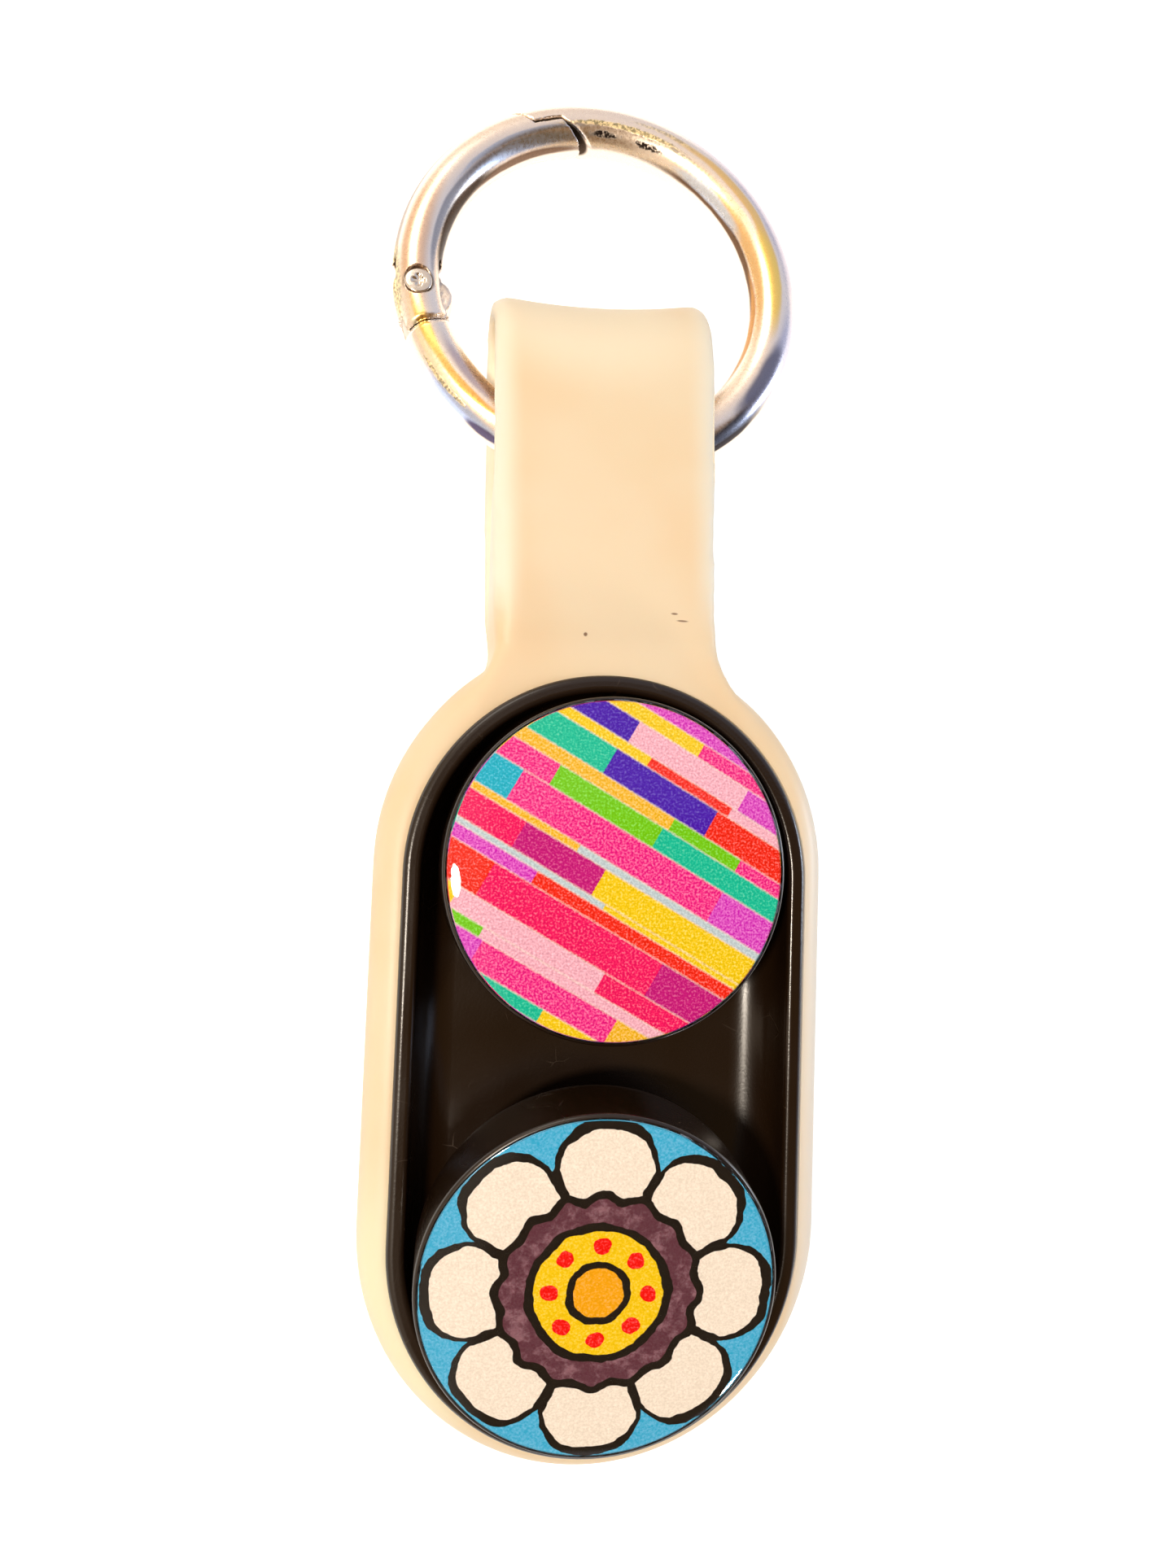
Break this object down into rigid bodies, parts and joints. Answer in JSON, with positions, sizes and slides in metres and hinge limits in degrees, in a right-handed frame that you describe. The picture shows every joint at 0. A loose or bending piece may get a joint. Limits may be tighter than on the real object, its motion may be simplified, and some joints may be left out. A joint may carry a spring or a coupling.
{
  "type": "clicker keyring",
  "caption": "Fidget clicker keyring: domed magnetic pucks resting in a black tray, held in a soft sleeve whose folded strap carries a spring-gate ring.",
  "frame": {"origin": "centre of the tray on the flat back face of the sleeve", "axes": "+X across the width, +Y from the pucks towards the ring, +Z out of the printed faces; lying on its back"},
  "size_m": [0.0429, 0.1295, 0.0193],
  "materials": {
    "silicone": "matte",
    "tray_plastic": "satin",
    "puck_plastic": "satin",
    "magnet_steel": "plated",
    "plain_steel": "plain",
    "printed_paper": "printed in many colours",
    "clear_dome": "gloss",
    "ring_metal": "polished"
  },
  "bodies": {
    "holder": {"sleeve": "silicone", "tray_body": "tray_plastic", "tray_cover": "tray_plastic", "tray_magnet_upper": "magnet_steel", "tray_magnet_lower": "magnet_steel", "tray_keeper_upper": "plain_steel", "tray_keeper_lower": "plain_steel"},
    "upper_puck": {"upper_shell": "puck_plastic", "upper_cap": "puck_plastic", "upper_magnet": "magnet_steel", "upper_weight": "plain_steel", "upper_print": "printed_paper", "upper_dome": "clear_dome"},
    "lower_puck": {"lower_shell": "puck_plastic", "lower_cap": "puck_plastic", "lower_magnet": "magnet_steel", "lower_weight": "plain_steel", "lower_print": "printed_paper", "lower_dome": "clear_dome"},
    "ring": {"ring_body": "ring_metal", "gate_rivet": "ring_metal"},
    "gate": {"gate": "ring_metal", "gate_spring": "plain_steel", "gate_plunger": "plain_steel"}
  },
  "joints": [
    {"name": "upper_puck_lift", "type": "slide", "parent": "holder", "child": "upper_puck", "axis": [0, 0, 1], "range_m": [0, 0.008]},
    {"name": "lower_puck_lift", "type": "slide", "parent": "holder", "child": "lower_puck", "axis": [0, 0, 1], "range_m": [0, 0.008]},
    {"name": "ring_swing", "type": "hinge", "parent": "holder", "child": "ring", "pos_m": [-0.00104, 0.05787, 0.00635], "axis": [0.9986, 0.0523, 0], "range_deg": [-143, 143]},
    {"name": "gate_open", "type": "hinge", "parent": "ring", "child": "gate", "pos_m": [-0.01932, 0.07089, 0.00466], "axis": [0.0063, -0.1199, -0.9928], "range_deg": [0, 25], "stiffness_Nm_per_rad": 0.02, "springref_deg": -20.05}
  ]
}
